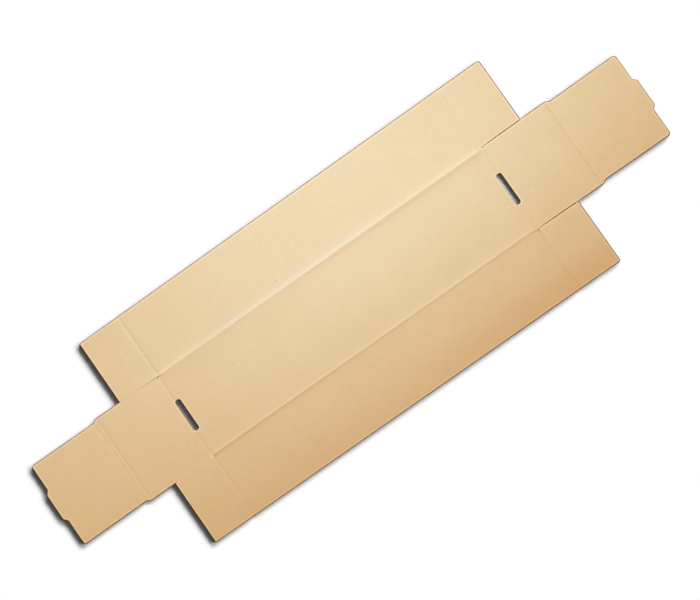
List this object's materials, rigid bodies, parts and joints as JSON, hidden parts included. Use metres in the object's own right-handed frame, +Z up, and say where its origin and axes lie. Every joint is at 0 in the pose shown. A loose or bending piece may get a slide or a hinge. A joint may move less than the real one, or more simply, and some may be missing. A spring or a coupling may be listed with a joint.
{
  "type": "flattened cardboard box",
  "caption": "Flat die-cut blank of a roll-end tray box in thin corrugated card: base, creased side panels with corner flaps, and roll-over end walls with lock tabs and slots.",
  "frame": {"origin": "under the middle of the base, on the plane that the blank lies on", "axes": "+X along the blank's length, +Y across it, +Z up through the board"},
  "size_m": [0.5258, 0.1766, 0.0019],
  "materials": {
    "kraft_board": "matt"
  },
  "bodies": {
    "root": {"tray_blank": "kraft_board"}
  },
  "joints": []
}
